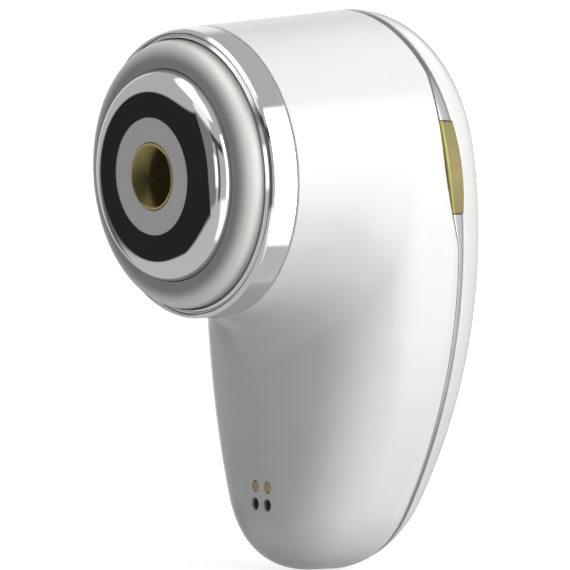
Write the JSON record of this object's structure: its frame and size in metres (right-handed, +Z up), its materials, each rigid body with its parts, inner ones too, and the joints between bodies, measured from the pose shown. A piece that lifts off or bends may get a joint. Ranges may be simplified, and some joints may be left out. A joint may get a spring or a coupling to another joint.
{
  "type": "face massager",
  "caption": "Palm-sized face massager: round electrode head in a soft ring on a rounded white grip, with a metallic seam band, side power button and charging contacts.",
  "frame": {"origin": "centre of the centre electrode's flat face", "axes": "-Y out of the treatment face, +Z up from the grip to the head, +X to the power button's side"},
  "size_m": [0.0558, 0.0604, 0.0999],
  "materials": {
    "white_gloss": "gloss",
    "chrome_bezel": "mirror",
    "chrome_trim": "satin",
    "button_gold": "satin",
    "chrome_plate": "mirror",
    "gold_plate": "satin",
    "grey_insulator": "satin",
    "silicone": "matte",
    "contact_brass": "satin",
    "black_plastic": "matte",
    "switch_cap": "matte",
    "screw_steel": "satin",
    "motor_steel": "satin",
    "cell_wrap": "satin",
    "strap_plastic": "satin",
    "board_laminate": "satin",
    "ferrite": "matte",
    "winding_enamel": "gloss",
    "lead_insulation": "satin"
  },
  "bodies": {
    "body": {"front_housing": "white_gloss", "rear_cover": "white_gloss", "head_bezel": "chrome_bezel", "trim_band": "chrome_trim", "soft_ring": "silicone", "charge_contacts": "contact_brass", "switch_body": "black_plastic", "suspension_frame": "black_plastic", "chassis": "black_plastic", "board_components": "black_plastic", "frame_screws": "screw_steel", "chassis_screws": "screw_steel", "board_screws": "screw_steel", "battery_cell": "cell_wrap", "battery_strap": "strap_plastic", "main_board": "board_laminate", "contact_board": "board_laminate", "transformer_core": "ferrite", "transformer_winding": "winding_enamel", "battery_leads": "lead_insulation", "motor_leads": "lead_insulation", "electrode_leads": "lead_insulation", "contact_leads": "lead_insulation"},
    "floating_head": {"outer_electrode": "chrome_plate", "insulator_ring": "grey_insulator", "centre_electrode": "gold_plate", "electrode_nut": "screw_steel", "electrode_carrier": "black_plastic", "motor_can": "motor_steel", "motor_clamp": "motor_steel", "clamp_screws": "screw_steel"},
    "motor_rotor": {"motor_shaft": "screw_steel", "eccentric_weight": "motor_steel"},
    "button": {"power_button": "button_gold", "switch_plunger": "switch_cap"}
  },
  "joints": [
    {"name": "button_press", "type": "slide", "parent": "body", "child": "button", "axis": [-1, 0, 0], "range_m": [0, 0.0006], "stiffness_N_per_m": 2500, "springref_m": -0.0002},
    {"name": "head_float", "type": "slide", "parent": "body", "child": "floating_head", "axis": [0, 1, 0], "range_m": [0, 0.0008], "stiffness_N_per_m": 6000, "springref_m": -0.0002, "deforming": ["motor_leads", "electrode_leads"]},
    {"name": "motor_spin", "type": "hinge", "parent": "floating_head", "child": "motor_rotor", "pos_m": [0, 0.0122, -0.0105], "axis": [1, 0, 0], "continuous": true}
  ]
}
